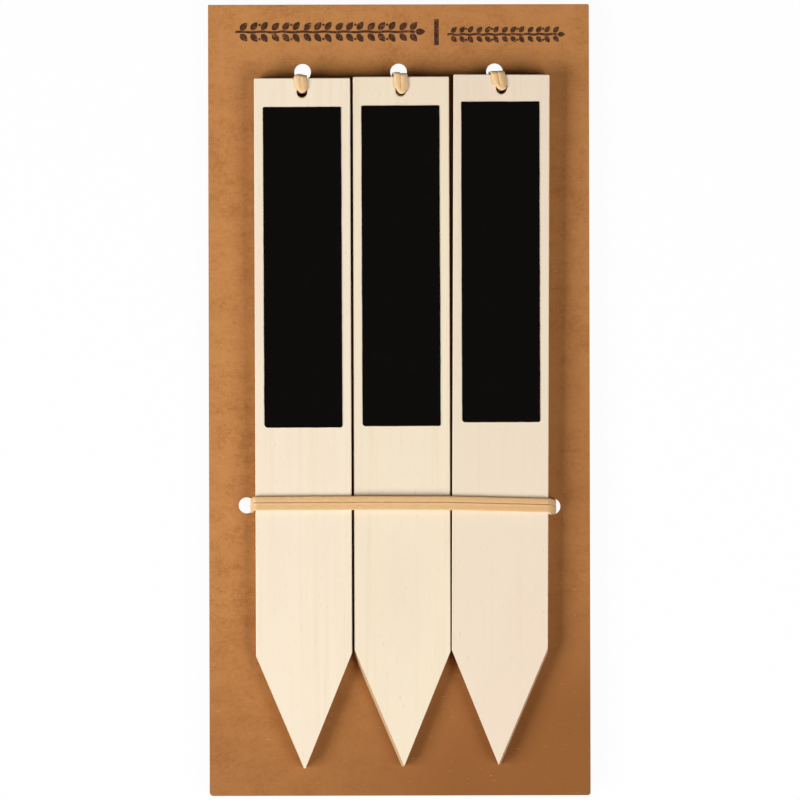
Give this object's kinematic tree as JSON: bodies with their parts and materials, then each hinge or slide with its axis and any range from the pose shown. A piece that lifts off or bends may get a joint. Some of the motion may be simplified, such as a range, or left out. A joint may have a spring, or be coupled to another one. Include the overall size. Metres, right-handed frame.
{
  "type": "plant label pack",
  "caption": "Pointed wooden plant labels with black chalk panels, each tied by a rubber loop to a punched kraft card, with a doubled rubber band across them.",
  "frame": {"origin": "under the middle of the card's box, level with the undersides of the knots that the pack rests on", "axes": "+Y up the card towards the ties, +X to the right seen from the printed face, +Z out of the printed face: the pack lies on its back"},
  "size_m": [0.119, 0.2474, 0.0107],
  "materials": {
    "kraft_card": "matt brown kraft board",
    "pale_wood": "planed and unvarnished",
    "chalk_film": "matt black writing film",
    "band_rubber": "natural latex, slightly waxy"
  },
  "bodies": {
    "card": {"backing_card": "kraft_card", "cross_band": "band_rubber"},
    "left_label": {"left_stake": "pale_wood", "left_chalk_panel": "chalk_film", "left_tie": "band_rubber"},
    "middle_label": {"middle_stake": "pale_wood", "middle_chalk_panel": "chalk_film", "middle_tie": "band_rubber"},
    "right_label": {"right_stake": "pale_wood", "right_chalk_panel": "chalk_film", "right_tie": "band_rubber"}
  },
  "joints": [
    {"name": "left_label_slide", "type": "slide", "parent": "card", "child": "left_label", "axis": [0, 1, 0], "range_m": [0, 0.0024]},
    {"name": "middle_label_slide", "type": "slide", "parent": "card", "child": "middle_label", "axis": [0, 1, 0], "range_m": [0, 0.00235]},
    {"name": "right_label_slide", "type": "slide", "parent": "card", "child": "right_label", "axis": [0, 1, 0], "range_m": [0, 0.0018]}
  ]
}
